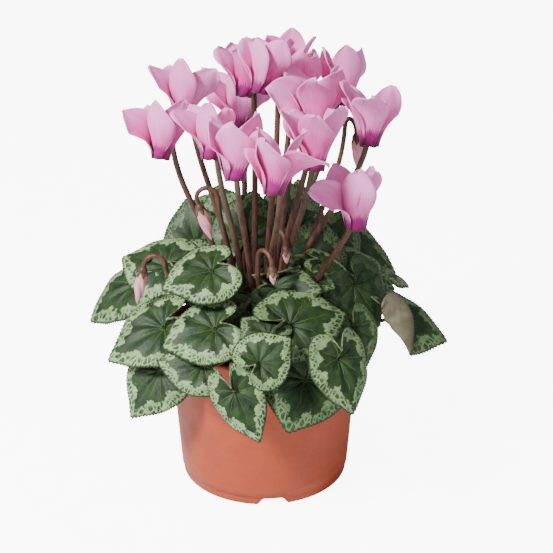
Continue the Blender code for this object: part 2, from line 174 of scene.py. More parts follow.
# smaller leaves that fill the plant's middle and back, laid out the same way
INNER_LEAVES = {
    "leaf_13": ((6, -30, 138), (34, -40, 142), (-75, 45), 0.9, 10, 60, 0.06, -70),
    "leaf_17": ((56, -12, 132), (74, -21, 108), (-60, 40), 1.1, 15, 20, 0.05, -10),
    "leaf_21": ((-22, 45, 142), (-32, 55, 172), (-95, 22), 1.1, 15, 25, 0.06, 110),
    "leaf_22": ((0, 22, 132), (-4, 32, 164), (-88, 25), 1.1, 15, 25, 0.06, 95),
    "leaf_24": ((44, 40, 136), (54, 50, 158), (-80, 30), 1.1, 15, 25, 0.06, 55),
    "leaf_26": ((3, -66, 124), (-13, -55, 131), (-95, 62), 1.2, 10, 20, 0.04, -85),
    "leaf_27": ((-17, -20, 128), (-46, -24, 124), (-90, 55), 1.0, 15, 20, 0.05, -160),
    "leaf_28": ((24, -16, 142), (44, -24, 136), (-60, 50), 1.0, 15, 20, 0.05, -40),
    "leaf_29": ((-45, 20, 128), (-70, 36, 140), (-120, 50), 1.0, 15, 20, 0.05, 140),
    "leaf_30": ((0, 50, 124), (-10, 80, 128), (90, 55), 1.0, 15, 20, 0.05, 100),
    "leaf_35": ((18, 40, 150), (8, 50, 180), (-85, 22), 1.0, 15, 25, 0.06, 80),
    "leaf_36": ((-44, 36, 136), (-52, 48, 166), (-100, 28), 1.0, 15, 25, 0.06, 125),
    "leaf_37": ((-12, 26, 146), (-6, 36, 176), (-92, 22), 1.1, 15, 25, 0.06, 105),
    "leaf_38": ((30, 10, 136), (36, 22, 164), (-85, 25), 1.1, 15, 25, 0.06, 15),
    "leaf_39": ((38, 58, 126), (54, 82, 112), (60, 55), 1.0, 20, 25, 0.05, 62),
    "leaf_40": ((-14, 58, 132), (-20, 88, 120), (100, 55), 1.0, 20, 25, 0.05, 98),
    "leaf_41": ((-54, 50, 126), (-76, 68, 110), (130, 50), 1.0, 20, 25, 0.05, 133),
    "leaf_42": ((10, 40, 140), (16, 68, 142), (85, 60), 1.0, 20, 25, 0.05, 80),
    "leaf_43": ((-30, 34, 138), (-44, 58, 138), (115, 60), 1.0, 20, 25, 0.05, 120),
}

# how much silver a leaf's band and net show, where it isn't the usual
SILVER = {
    "leaf_02": 0.75, "leaf_10": 0.45, "leaf_11": 0.65, "leaf_12": 0.6, "leaf_13": 0.4, "leaf_14": 0.65,
    "leaf_15": 0.55, "leaf_16": 0.35, "leaf_17": 0.12, "leaf_18": 0.35, "leaf_19": 0.25, "leaf_20": 0.5,
    "leaf_21": 0.5, "leaf_22": 0.4, "leaf_23": 0.65, "leaf_24": 0.3, "leaf_25": 0.2, "leaf_26": 0.5,
    "leaf_27": 0.3, "leaf_28": 0.4, "leaf_29": 0.5, "leaf_35": 0.35, "leaf_36": 0.3, "leaf_37": 0.3,
    "leaf_38": 0.3,
}
SILVER_USUAL = 0.9
# creases: angle of the crease from the tip, its distance from the stalk joint
# as a share of the leaf's length, how far the leaf turns over there
FOLDS = {
    "leaf_18": (-35, 0.12, 150),
    "leaf_13": (15, 0.25, 120),
    "leaf_25": (20, 0.35, 80),
    "leaf_14": (-20, 0.40, 70),
}
FOLD_RADIUS = 1.6 * MM
# a blade or petal keeps at least this far inside the CAD model's box
EDGE_ROOM = 0.4 * MM

# -------- flowers

PETAL_COLUMNS = 12
PETAL_ROWS = 22
TUBE_ROWS = 4
PETAL_LENGTH = 37 * MM
PETAL_THICKNESS = 0.28 * MM
MOUTH_RADIUS = 5.4 * MM
# the throat, from the calyx down to the mouth's lip: radius, height
THROAT = ((3.0, 8.6), (4.0, 5.2), (4.6, 2.0), (4.8, 0.4))
# along a free petal: share of its length, half width in millimetres
PETAL_WIDTHS = (
    (0, 3.5), (0.12, 4.7), (0.28, 7.2), (0.44, 9.8), (0.58, 10.9), (0.70, 10.3),
    (0.82, 7.9), (0.92, 4.9), (1, 0.8),
)
PETAL_START_ANGLE = 8
# small differences from petal to petal: length as a share, flare in degrees
LENGTH_SPREAD = 0.06
FLARE_SPREAD = 4
# how far a petal turns about its own length: the front one, an upright side one,
# and how much more for each degree of flare
FRONT_TWIST = 8
SIDE_TWIST = 10
TWIST_PER_FLARE = 0.72
# the same for all five petals, where it isn't the usual
TWISTS = {
    "flower_12": (8, 25, 10, 10, 52),
    "flower_13": (15, 20, 20, 25, 30),
    "flower_15": (-4, 40, 10, 10, 45),
}
# how far each petal leans round the flower from its fifth of the circle
PETAL_SHIFTS = (0, 0, -17, 29, 6)
PETAL_LIFT = 0.3 * MM
PETAL_RIPPLE = 2.3 * MM
# how far the middle of a petal is hollowed, and how much that differs
PETAL_CUP = (1.5, 1.1)
# how far the petals' edges rise over their middles: at the throat's last row, in
# millimetres, and where the petals come free
LIP_SCALLOP = 0.5
PETAL_SCALLOP = 0.9 * MM

# at the root and at the calyx
STALK_RADII = (2.1 * MM, 1.45 * MM)
BUD_STALK_RADII = (1.74 * MM, 1.3775 * MM)
STALK_RISE = 0.5
STALK_BOW = 0.35
STALK_STEPS = 28
HOOK_RADIUS = 6.2 * MM
HOOK_START = 4.5 * MM
HOOK_END = 2.2 * MM
HOOK_TURN = 176
HOOK_STEPS = 12
CALYX_HEIGHT = 9.6 * MM
# the swelling at a stalk's end, from the hook down: height over the calyx, radius
FLOWER_DOME = ((2.6, 1.2), (2.2, 1.9), (1.4, 2.7), (0.4, 3.2), (-0.4, 3.1), (-1.0, 2.6))
BUD_DOME = ((2.6, 1.2), (2.2, 1.7), (1.4, 2.3), (0.2, 2.8), (-1.0, 2.9))
SEPAL_LENGTH = 7.5 * MM
SEPAL_WIDTH = 1.9 * MM
SEPAL_RISE = 2.0 * MM
SEPAL_HOLLOW = 0.5 * MM
SEPAL_THICKNESS = 0.4 * MM
# the radius that sepals lie on, at the calyx and how much it grows
SEPAL_RADII = (1.2, 2.6)
# how far the sepals' tips stand away; on a bud, their size comes first
SEPAL_SPREAD = 1.0
BUD_SEPALS = (0.85, 0.4)

BUD_LENGTH = 22 * MM
# along a bud from the calyx: share of its length, radius in millimetres
BUD_OUTLINE = ((0, 2.5), (0.15, 3.2), (0.35, 3.5), (0.6, 2.8), (0.8, 1.8), (0.93, 0.9), (1, 0.15))
BUD_COLUMNS = 40
BUD_ROWS = 24
BUD_SWIRL = 2.6
BUD_FOLDS = 0.10

# name: mouth, root, lean (compass, tilt), size, flare of the five petals:
# front, right, right back, left back, left
FLOWERS = {
    "flower_01": ((-59, -25, 215), (-20, -8), (-110, 18), 0.93, (18, 22, 22, 35, 64)),
    "flower_02": ((-48, 9, 229), (-17, 4), (-100, 18), 0.92, (15, 50, 20, 20, 50)),
    "flower_03": ((-30, -41, 220), (-11, -10), (-100, 15), 0.85, (16, 16, 20, 30, 58)),
    "flower_04": ((-16, 48, 211), (-12, 14), (-100, 10), 1.0, (10, 35, 38, 45, 40)),
    "flower_05": ((-12, 22, 239), (-6, 8), (-110, 20), 0.9, (48, 28, 20, 25, 45)),
    "flower_06": ((-2, -3, 248), (1, 1), (-130, 15), 0.9, (20, 28, 20, 20, 25)),
    "flower_07": ((17, 58, 236), (5, 20), (90, 20), 0.92, (25, 25, 25, 25, 25)),
    "flower_09": ((49, 30, 231), (12, 14), (-80, 15), 0.95, (18, 14, 20, 20, 18)),
    "flower_10": ((22, 18, 236), (7, 9), (-90, 15), 0.85, (20, 18, 18, 18, 18)),
    "flower_11": ((30, -17, 229), (8, 1), (-90, 18), 1.05, (60, 26, 20, 25, 80)),
    "flower_12": ((-15, -66, 216), (-6, -16), (-90, 18), 1.0, (38, 20, 20, 17, 28)),
    "flower_13": ((6, -80, 213), (1, -12), (-105, 15), 1.0, (50, 97, 25, 18, 12)),
    "flower_14": ((29, -43, 214), (9, -7), (-90, 15), 1.0, (50, 28, 15, 20, 42)),
    "flower_15": ((61, -20, 221), (16, 5), (-95, 22), 1.0, (76, 16, 18, 20, 30)),
    "flower_16": ((53, -48, 180), (23, -15), (-90, 15), 1.0, (18, 8, 12, 14, 75)),
}

# name: tip, root, lean (compass, tilt)
BUDS = {
    "bud_01": ((-31, -14, 161), (-14, -3), (180, -18)),
    "bud_02": ((-76, -28, 126), (-25, -3), (180, 12)),
    "bud_03": ((58, 14, 194), (21, 12), (-60, 10)),
}

# young buds between the leaves, laid out the same way
YOUNG_BUDS = {
    "bud_04": ((6, -44, 145), (0, -20), (-50, 8)),
    "bud_05": ((14, -20, 148), (6, -12), (-60, 10)),
}
YOUNG_SIZE = 0.42
# a bud's girth grows this much faster than its length, up to the full one
YOUNG_GIRTH = 1.6

# -------- colours and patterns

POT_COLORS = ((0.36, 0.052, 0.015), (0.41, 0.062, 0.018))
POT_RINGS = (0.45, 0.095, 0.038)
POT_DUST = (0.45, 0.105, 0.042)
SOIL_COLORS = ((0.010, 0.007, 0.005), (0.055, 0.036, 0.024))
CORK_COLORS = ((0.06, 0.035, 0.022), (0.16, 0.10, 0.06))
LEAF_DARK = ((0.006, 0.020, 0.005), (0.022, 0.052, 0.012))
LEAF_SILVER = ((0.15, 0.27, 0.10), (0.38, 0.53, 0.26))
LEAF_VEIN = (0.12, 0.21, 0.06)
LEAF_MARGIN = (0.012, 0.030, 0.008)
LEAF_UNDERSIDE = ((0.085, 0.075, 0.042), (0.15, 0.125, 0.085))
UNDERSIDE_VEIN = (0.16, 0.07, 0.045)
PETAL_PINKS = ((0.70, 0.045, 0.32), (0.97, 0.30, 0.67))
PETAL_MARGIN = (0.86, 0.42, 0.66)
PETAL_VEIN = (0.56, 0.05, 0.26)
PETAL_SEAM = (0.95, 0.66, 0.84)
PETAL_MOUTH = ((0.11, 0.0, 0.045), (0.27, 0.0, 0.14))
BUD_PINKS = ((0.80, 0.40, 0.45), (0.62, 0.16, 0.25))
BUD_FOOT = (0.45, 0.30, 0.20)
# two browns and a tint
FLOWER_STALK_COLORS = (((0.042, 0.016, 0.009), (0.115, 0.045, 0.027)), (0.085, 0.065, 0.035))
LEAF_STALK_COLORS = (((0.07, 0.035, 0.02), (0.14, 0.08, 0.045)), (0.08, 0.10, 0.035))
FLOOR_WHITES = ((0.90, 0.90, 0.90), (0.92, 0.92, 0.92))
# how far a leaf's dark centre reaches along a vein, as a share of the way to the
# margin, and how much less it would a whole gap between two veins further round
CENTRE_REACH = 0.76
CENTRE_BAYS = 0.34
# cells of the pale net: to a radian round the leaf, and from the stalk to the margin
NET_CELLS = (9.5, 7.5)

# -------- floor, light, camera

FLOOR_SIZE = 3.0
FLOOR_DROP = 0.05 * MM
FLOOR_GLOW = 9.0
SKY_STRENGTH = 0.42
LIGHT_TARGET = (0, 0, 0.15)
# place, size, power
LIGHTS = {
    "key": ((-0.85, -0.75, 1.15), 0.30, 47),
    "fill": ((0.9, -1.1, 0.6), 0.9, 2),
}
LENS = 84.37
SENSOR = 36
CAMERA_PLACE = (0.0077, -0.735, 0.448)
CAMERA_TILT = 66.7


# -------- shape helpers

def compass(angle, height):
    """A unit direction: 0 is +X, -90 the front, height above the level."""
    a = math.radians(angle)
    h = math.radians(height)
    return Vector((math.cos(h) * math.cos(a), math.cos(h) * math.sin(a), math.sin(h)))


def between(table, x):
    """Reads a short table of (x, y) rows, with a smooth slope between rows."""
    last = len(table) - 1
    for i in range(last):
        x0, y0 = table[i]
        x1, y1 = table[i + 1]
        if x <= x1:
            before = table[max(i - 1, 0)]
            after = table[min(i + 2, last)]
            span = x1 - x0
            t = (x - x0) / span
            slope0 = (y1 - before[1]) / max(x1 - before[0], 1e-9) * span
            slope1 = (after[1] - y0) / max(after[0] - x0, 1e-9) * span
            a = 2 * t ** 3 - 3 * t * t + 1
            b = t ** 3 - 2 * t * t + t
            c = 3 * t * t - 2 * t ** 3
            d = t ** 3 - t * t
            return a * y0 + b * slope0 + c * y1 + d * slope1
    return table[-1][1]


def cubic(a, b, c, d, t):
    """A point at t on the curve from a to d, pulled towards b and c."""
    s = 1 - t
    return a * s ** 3 + b * 3 * s * s * t + c * 3 * s * t * t + d * t ** 3


def bend(length, degrees, full):
    """Bends a straight distance into an arc: distance along, drop."""
    turn = math.radians(degrees) / full
    if abs(turn) < 1e-6:
        return length, 0
    return math.sin(turn * length) / turn, (1 - math.cos(turn * length)) / turn


def new_object(name, data):
    item = bpy.data.objects.new(name, data)
    bpy.context.scene.collection.objects.link(item)
    return item


def finish_mesh(bm, name, *materials):
    """The mesh of a finished piece, at the origin, with smooth faces."""
    mesh = bpy.data.meshes.new(name)
    bm.to_mesh(mesh)
    bm.free()
    for finish in materials:
        mesh.materials.append(finish)
    mesh.shade_smooth()
    return new_object(name, mesh)


def grid_sheet(bm, columns, rows, place):
    """Adds a grid whose corners place(vert, u, v) moves, with u and v from 0 to 1."""
    made = bmesh.ops.create_grid(bm, x_segments=columns, y_segments=rows, size=0.5)
    for vert in made["verts"]:
        place(vert, vert.co.x + 0.5, vert.co.y + 0.5)
    return made["verts"]


def tapered(start, end, count):
    return [start + (end - start) * i / (count - 1) for i in range(count)]


def tube(bm, points, radii, around):
    """A closed tube along a path, with flat ends."""
    count = len(points) - 1
    headings = []
    for i in range(count + 1):
        headings.append((points[min(i + 1, count)] - points[max(i - 1, 0)]).normalized())
    side = headings[0].orthogonal().normalized()
    sides = []
    for heading in headings:
        side = (side - heading * side.dot(heading)).normalized()
        sides.append(side)

    def place(vert, u, v):
        i = round(v * count)
        angle = math.tau * u
        other = headings[i].cross(sides[i])
        vert.co = points[i] + (sides[i] * math.cos(angle) + other * math.sin(angle)) * radii[i]

    verts = grid_sheet(bm, around, count, place)
    edges = list({edge for vert in verts for edge in vert.link_edges})
    bmesh.ops.remove_doubles(bm, verts=verts, dist=WELD)
    close_holes(bm, [edge for edge in edges if edge.is_valid], around)


def close_holes(bm, edges, sides):
    bmesh.ops.holes_fill(bm, edges=[edge for edge in edges if edge.is_boundary], sides=sides)


def weld(bm):
    """Merges the corners that meet along a seam or at a pole."""
    bmesh.ops.remove_doubles(bm, verts=bm.verts, dist=WELD)


def face_outwards(bm):
    bmesh.ops.recalc_face_normals(bm, faces=bm.faces)


def thicken(item, thickness, offset):
    """Gives a sheet its wall: offset 0 on both sides of it, -1 behind its face."""
    wall = item.modifiers.new("thickness", "SOLIDIFY")
    wall.thickness = thickness
    wall.offset = offset
    return wall


# -------- material helpers

def put(tree, kind, values=(), **settings):
    """Adds a node; values are numbers or links for its inputs, by name or place."""
    made = tree.nodes.new(kind)
    for name, value in settings.items():
        setattr(made, name, value)
    pairs = values.items() if isinstance(values, dict) else enumerate(values)
    for key, value in pairs:
        if isinstance(value, bpy.types.NodeSocket):
            tree.links.new(value, made.inputs[key])
        else:
            made.inputs[key].default_value = value
    return made


def calc(tree, operation, *values):
    return put(tree, "ShaderNodeMath", values, operation=operation).outputs[0]


def smooth(tree, value, low, high, start=0.0, end=1.0):
    values = {"Value": value, "From Min": low, "From Max": high, "To Min": start, "To Max": end}
    made = put(tree, "ShaderNodeMapRange", values, interpolation_type="SMOOTHSTEP")
    return made.outputs["Result"]


def times(tree, first, second):
    return calc(tree, "MULTIPLY", first, second)


def scaled(tree, value, factor, added):
    return calc(tree, "MULTIPLY_ADD", value, factor, added)


def blend(tree, factor, first, second):
    made = put(tree, "ShaderNodeMix", data_type="RGBA")
    for place, value in ((0, factor), (6, first), (7, second)):
        if isinstance(value, bpy.types.NodeSocket):
            tree.links.new(value, made.inputs[place])
        else:
            made.inputs[place].default_value = (*value, 1)
    return made.outputs[2]


def noise_value(tree, vector, scale, detail=3.0, roughness=0.55):
    values = {"Vector": vector, "Scale": scale, "Detail": detail, "Roughness": roughness}
    return put(tree, "ShaderNodeTexNoise", values).outputs["Fac"]


def stretched(tree, vector, scale):
    return put(tree, "ShaderNodeMapping", {"Vector": vector, "Scale": scale}).outputs[0]


def attribute(tree, name, kind="Vector"):
    return put(tree, "ShaderNodeAttribute", attribute_name=name).outputs[kind]


def split(tree, vector):
    return put(tree, "ShaderNodeSeparateXYZ", [vector]).outputs


def object_place(tree):
    return put(tree, "ShaderNodeTexCoord").outputs["Object"]


def new_material(name, roughness, specular):
    made = bpy.data.materials.new(name)
    made.use_nodes = True
    tree = made.node_tree
    shader = tree.nodes["Principled BSDF"]
    shader.inputs["Roughness"].default_value = roughness
    shader.inputs["Specular IOR Level"].default_value = specular
    return made, tree, shader


def surface(tree, shader, color, height, strength, depth):
    """Gives a shader its colour and its relief, with the depth in millimetres."""
    tree.links.new(color, shader.inputs["Base Color"])
    values = {"Height": height, "Strength": strength, "Distance": depth * MM}
    made = put(tree, "ShaderNodeBump", values)
    tree.links.new(made.outputs[0], shader.inputs["Normal"])


def mottle_group():
    """Two scales of soft variation between two colours, and a fine grain for bumps."""
    group = bpy.data.node_groups.new("mottle", "ShaderNodeTree")
    for label, kind in (("Place", "Vector"), ("Scale", "Float"), ("First", "Color"), ("Second", "Color")):
        group.interface.new_socket(label, in_out="INPUT", socket_type="NodeSocket" + kind)
    for label, kind in (("Color", "Color"), ("Grain", "Float")):
        group.interface.new_socket(label, in_out="OUTPUT", socket_type="NodeSocket" + kind)
    given = group.nodes.new("NodeGroupInput").outputs
    result = group.nodes.new("NodeGroupOutput").inputs
    broad = noise_value(group, given["Place"], given["Scale"], 4.0)
    grain = noise_value(group, given["Place"], times(group, given["Scale"], 7.0), 5.0, 0.65)
    both = calc(group, "ADD", times(group, broad, 0.7), times(group, grain, 0.3))
    color = blend(group, smooth(group, both, 0.36, 0.64), given["First"], given["Second"])
    group.links.new(color, result["Color"])
    group.links.new(grain, result["Grain"])
    return group


MOTTLE = mottle_group()


def mottled(tree, place, scale, colors):
    """The mottle group between a material's own two colours: its colour and its grain."""
    first, second = colors
    values = {"Place": place, "Scale": scale, "First": (*first, 1), "Second": (*second, 1)}
    made = put(tree, "ShaderNodeGroup", values, node_tree=MOTTLE)
    return made.outputs["Color"], made.outputs["Grain"]


# -------- materials

def leaf_face_material():
    """Dark tree-shaped centre, silver band in blotches, pale net towards a dark edge."""
    made, tree, shader = new_material("leaf_face", 0.5, 0.3)
    blade = attribute(tree, "blade")
    share = attribute(tree, "share", "Fac")
    x, y, seed = split(tree, blade)
    angle = calc(tree, "ARCTAN2", y, x)
    reach = calc(tree, "SQRT", calc(tree, "ADD", times(tree, x, x), times(tree, y, y)))
    wander = calc(tree, "SUBTRACT", noise_value(tree, blade, 5.0, 2.0), 0.5)
    turns = calc(tree, "ADD", times(tree, angle, VEINS / math.tau), times(tree, wander, 0.5))
    to_vein = calc(tree, "PINGPONG", turns, 0.5)
    beside = times(tree, to_vein, reach)

    # the dark centre reaches out along each vein, and further towards the tip
    rough = calc(tree, "SUBTRACT", noise_value(tree, blade, 14.0, 3.0), 0.5)
    edge = scaled(tree, to_vein, -CENTRE_BAYS, CENTRE_REACH)
    edge = scaled(tree, calc(tree, "COSINE", angle), 0.05, edge)
    edge = scaled(tree, rough, 0.34, edge)
    edge = scaled(tree, wander, 0.25, edge)
    band = smooth(tree, calc(tree, "SUBTRACT", share, edge), -0.015, 0.03)
    outward = scaled(tree, rough, 0.22, share)
    inner_band = times(tree, band, smooth(tree, outward, 0.84, 0.72))

    # a net of cells, drawn out towards the margin
    around, out = NET_CELLS
    polar = put(tree, "ShaderNodeCombineXYZ", [
        times(tree, angle, around), times(tree, share, out), seed,
    ]).outputs[0]
    values = {"Vector": polar, "Scale": 1.4, "Detail": 2.0}
    tangle = put(tree, "ShaderNodeTexNoise", values).outputs["Color"]
    polar = put(tree, "ShaderNodeMixRGB", [0.10, polar, tangle], blend_type="ADD").outputs[0]
    cells, fine_cells = [
        put(tree, "ShaderNodeTexVoronoi", {"Vector": polar, "Scale": scale, "Randomness": 1.0},
            feature="DISTANCE_TO_EDGE").outputs["Distance"]
        for scale in (1.0, 1.9)
    ]
    fine_net = times(tree, smooth(tree, fine_cells, 0.10, 0.04), 0.35)
    net = calc(tree, "MAXIMUM", smooth(tree, cells, 0.17, 0.07), fine_net)
    outer = times(tree, smooth(tree, outward, 0.70, 0.78), smooth(tree, share, 1.0, 0.93))
    outer = times(tree, outer, band)
    blotch = smooth(tree, beside, 0.008, 0.03)
    pale = times(tree, inner_band, scaled(tree, blotch, 0.75, 0.25))
    pale = calc(tree, "MAXIMUM", pale, times(tree, outer, net))
    pale = times(tree, pale, attribute(tree, "silver", "Fac"))

    # thin pale veins over the dark centre
    vein = smooth(tree, beside, 0.011, 0.003)
    vein = times(tree, vein, smooth(tree, share, 0.8, 0.35))
    vein = times(tree, vein, smooth(tree, reach, 0.01, 0.06))

    dark, grain = mottled(tree, blade, 6.0, LEAF_DARK)
    silver = blend(tree, noise_value(tree, blade, 2.2, 1.0), *LEAF_SILVER)
    color = blend(tree, pale, dark, silver)
    color = blend(tree, times(tree, vein, 0.45), color, LEAF_VEIN)
    margin = times(tree, smooth(tree, share, 0.955, 0.995), 0.8)
    color = blend(tree, margin, color, LEAF_MARGIN)
    height = scaled(tree, vein, -0.9, times(tree, grain, 0.5))
    height = scaled(tree, cells, 0.6, height)
    surface(tree, shader, color, height, 0.5, 0.6)
    return made


def leaf_under_material():
    """Brownish grey, with redder veins."""
    made, tree, shader = new_material("leaf_underside", 0.55, 0.35)
    blade = attribute(tree, "blade")
    x, y, _ = split(tree, blade)
    angle = calc(tree, "ARCTAN2", y, x)
    to_vein = calc(tree, "PINGPONG", times(tree, angle, VEINS / math.tau), 0.5)
    reach = put(tree, "ShaderNodeVectorMath", [blade], operation="LENGTH").outputs["Value"]
    vein = smooth(tree, times(tree, to_vein, reach), 0.02, 0.004)
    body, grain = mottled(tree, blade, 5.0, LEAF_UNDERSIDE)
    color = blend(tree, times(tree, vein, 0.5), body, UNDERSIDE_VEIN)
    surface(tree, shader, color, scaled(tree, vein, 1.0, grain), 0.4, 0.6)
    return made


def petal_material():
    """Magenta at the mouth, feathering into pink and a pale tip, with fine lengthwise veins."""
    made, tree, shader = new_material("petal", 0.55, 0.3)
    petal = attribute(tree, "petal")
    across, share, seed = split(tree, petal)
    aside = calc(tree, "ABSOLUTE", across)
    streak = noise_value(tree, stretched(tree, petal, (7.0, 0.6, 1.0)), 2.4, 4.0, 0.6)
    fine = noise_value(tree, stretched(tree, petal, (26.0, 1.2, 1.0)), 2.0, 3.0, 0.6)
    broad = noise_value(tree, petal, 1.6, 2.0)

    feather = scaled(tree, calc(tree, "SUBTRACT", streak, 0.5), -0.42, share)
    feather = scaled(tree, aside, 0.07, feather)
    body = smooth(tree, feather, 0.20, 0.28)
    # each petal is a little paler or deeper than the next, and all are paler at the tip
    paler = put(tree, "ShaderNodeTexWhiteNoise", {"W": seed}, noise_dimensions="1D").outputs["Value"]
    paler = scaled(tree, paler, 0.45, -0.2)
    light = calc(tree, "ADD", scaled(tree, broad, 0.6, share), paler)
    pink = blend(tree, smooth(tree, light, 0.4, 1.15), *PETAL_PINKS)
    margin = times(tree, smooth(tree, aside, 0.84, 1.0), 0.12)
    pink = blend(tree, margin, pink, PETAL_MARGIN)
    pink = blend(tree, times(tree, smooth(tree, fine, 0.45, 0.72), 0.38), pink, PETAL_VEIN)
    seam = times(tree, smooth(tree, aside, 0.78, 1.0), smooth(tree, share, 0.45, 0.16))
    seam = times(tree, seam, smooth(tree, share, 0.02, 0.12))
    pink = blend(tree, times(tree, seam, 0.7), pink, PETAL_SEAM)
    mouth = blend(tree, smooth(tree, share, 0.0, 0.13), *PETAL_MOUTH)
    color = blend(tree, body, mouth, pink)
    shader.inputs["Subsurface Weight"].default_value = 0.15
    shader.inputs["Subsurface Radius"].default_value = (0.9, 0.45, 0.6)
    shader.inputs["Subsurface Scale"].default_value = 2 * MM
    shader.inputs["Sheen Weight"].default_value = 0.15
    surface(tree, shader, color, scaled(tree, fine, 0.5, streak), 0.35, 0.6)
    return made


def stalk_material(name, colors, tint):
    """Fine hairs and lengthwise streaks in two browns, tinted in patches."""
    made, tree, shader = new_material(name, 0.5, 0.4)
    place = object_place(tree)
    body, grain = mottled(tree, stretched(tree, place, (1.0, 1.0, 0.22)), 420.0, colors)
    soft = noise_value(tree, place, 28.0, 2.0)
    color = blend(tree, smooth(tree, soft, 0.5, 0.68), body, tint)
    surface(tree, shader, color, grain, 0.35, 0.4)
    return made


def bud_material():
    """Pale and rolled-up petals, streaked with rose, brownish at the calyx."""
    made, tree, shader = new_material("bud_petals", 0.55, 0.3)
    petal = attribute(tree, "petal")
    share = split(tree, petal)[1]
    lines = noise_value(tree, stretched(tree, petal, (9.0, 1.4, 1.0)), 2.2, 3.0)
    color = blend(tree, smooth(tree, lines, 0.35, 0.7), *BUD_PINKS)
    color = blend(tree, smooth(tree, share, 0.35, 0.05), color, BUD_FOOT)
    surface(tree, shader, color, lines, 0.35, 0.6)
    return made


def pot_material():
    """Moulded terracotta-coloured plastic: fine grain, faint turning marks, a few scuffs."""
    made, tree, shader = new_material("pot_plastic", 0.5, 0.45)
    place = object_place(tree)
    body, grain = mottled(tree, place, 60.0, POT_COLORS)
    rings = noise_value(tree, stretched(tree, place, (1.0, 1.0, 60.0)), 9.0, 2.0)
    color = blend(tree, times(tree, smooth(tree, rings, 0.45, 0.7), 0.10), body, POT_RINGS)
    dust = noise_value(tree, place, 22.0, 5.0, 0.7)
    color = blend(tree, smooth(tree, dust, 0.56, 0.80, 0.0, 0.3), color, POT_DUST)
    tree.links.new(smooth(tree, dust, 0.3, 0.75, 0.42, 0.62), shader.inputs["Roughness"])
    surface(tree, shader, color, scaled(tree, rings, 0.5, grain), 0.25, 0.4)
    return made


def earthy_material(name, roughness, specular, scale, colors, strength):
    """Dull and grainy, in two browns."""
    made, tree, shader = new_material(name, roughness, specular)
    body, grain = mottled(tree, object_place(tree), scale, colors)
    surface(tree, shader, body, grain, strength, 1.0)
    return made


def floor_material():
    """Pale paper that looks brighter to the camera than the light it gives back."""
    made, tree, shader = new_material("floor_paper", 0.9, 0.1)
    tone = noise_value(tree, object_place(tree), 40.0, 2.0)
    color = blend(tree, smooth(tree, tone, 0.3, 0.7), *FLOOR_WHITES)
    tree.links.new(color, shader.inputs["Base Color"])
    tree.links.new(color, shader.inputs["Emission Color"])
    seen = put(tree, "ShaderNodeLightPath").outputs["Is Camera Ray"]
    tree.links.new(times(tree, seen, FLOOR_GLOW), shader.inputs["Emission Strength"])
    return made


LEAF_FACE = leaf_face_material()
LEAF_UNDER = leaf_under_material()
PETAL = petal_material()
FLOWER_STALK = stalk_material("flower_stalk", *FLOWER_STALK_COLORS)
LEAF_STALK = stalk_material("leaf_stalk", *LEAF_STALK_COLORS)
BUD_PETALS = bud_material()
POT_PLASTIC = pot_material()
SOIL = earthy_material("potting_soil", 0.95, 0.2, 260.0, SOIL_COLORS, 1.0)
BARK = earthy_material("tuber_bark", 0.8, 0.25, 160.0, CORK_COLORS, 0.9)


# -------- pot, soil, tuber

def wall_radius(height):
    """The pot's outer radius, on its straight taper."""
    return BASE_RADIUS + (RIM_RADIUS - BASE_RADIUS) * height / POT_HEIGHT


def turned(bm, outline, steps):
    """Spins a (radius, height) outline into a closed shell of revolution."""
    verts = [bm.verts.new((radius, 0, height)) for radius, height in outline]
    edges = [bm.edges.new(pair) for pair in zip(verts, verts[1:])]
    bmesh.ops.spin(
        bm, geom=verts + edges, cent=(0, 0, 0), axis=(0, 0, 1), angle=math.tau, steps=steps, use_merge=True,
    )
    weld(bm)
    face_outwards(bm)


def pot_outline():
    """Once round the wall's section, from the lip's outer edge down, with its corners rounded."""
    rim = RIM_RADIUS + LIP_WIDTH
    mouth = RIM_RADIUS - POT_WALL
    under = POT_HEIGHT - LIP_HEIGHT
    wall_top = under - LIP_WIDTH
    wall_foot = FOOT_HEIGHT + FOOT_STEP
    step = BASE_RADIUS - FOOT_STEP
    ring = BASE_RADIUS - FOOT_RING
    inner = wall_radius(FOOT_HEIGHT) - POT_WALL
    bottom = FOOT_HEIGHT + POT_WALL
    wall = [(wall_radius(under), wall_top)]
    for i in range(1, WALL_ROWS):
        height = wall_top + (wall_foot - wall_top) * i / WALL_ROWS
        wall.append((wall_radius(height), height))
    return [
        (rim, POT_HEIGHT - CORNER), (rim, under + CORNER), (rim - CORNER, under),
        (wall_radius(under) + CORNER, under - LIP_WIDTH * LIP_FILLET), *wall,
        (wall_radius(FOOT_HEIGHT), wall_foot), (step + CORNER, FOOT_HEIGHT + CORNER),
        (step, FOOT_HEIGHT), (step, NOTCH_HEIGHT), (step, CORNER), (step - CORNER, 0),
        (ring + CORNER, 0), (ring, CORNER), (ring, FOOT_HEIGHT), (DRAIN_RADIUS, FOOT_HEIGHT),
        (DRAIN_RADIUS, bottom), (inner - CORNER * 2, bottom), (inner, bottom + CORNER * 2),
        (mouth, POT_HEIGHT - CORNER), (mouth + CORNER, POT_HEIGHT), (rim - CORNER, POT_HEIGHT),
    ]


def notch_lift(place):
    """How far the foot's lower edge is cut away at a place round it."""
    turn = math.degrees(math.atan2(place.y, place.x))
    away = min(abs((turn - notch + 180) % 360 - 180) for notch in NOTCH_ANGLES)
    from_side = NOTCH_WIDTH / 2 - math.radians(away) * BASE_RADIUS
    return max(0, min(NOTCH_HEIGHT, NOTCH_HEIGHT * from_side / (NOTCH_WIDTH / 2 - NOTCH_TOP_WIDTH / 2)))


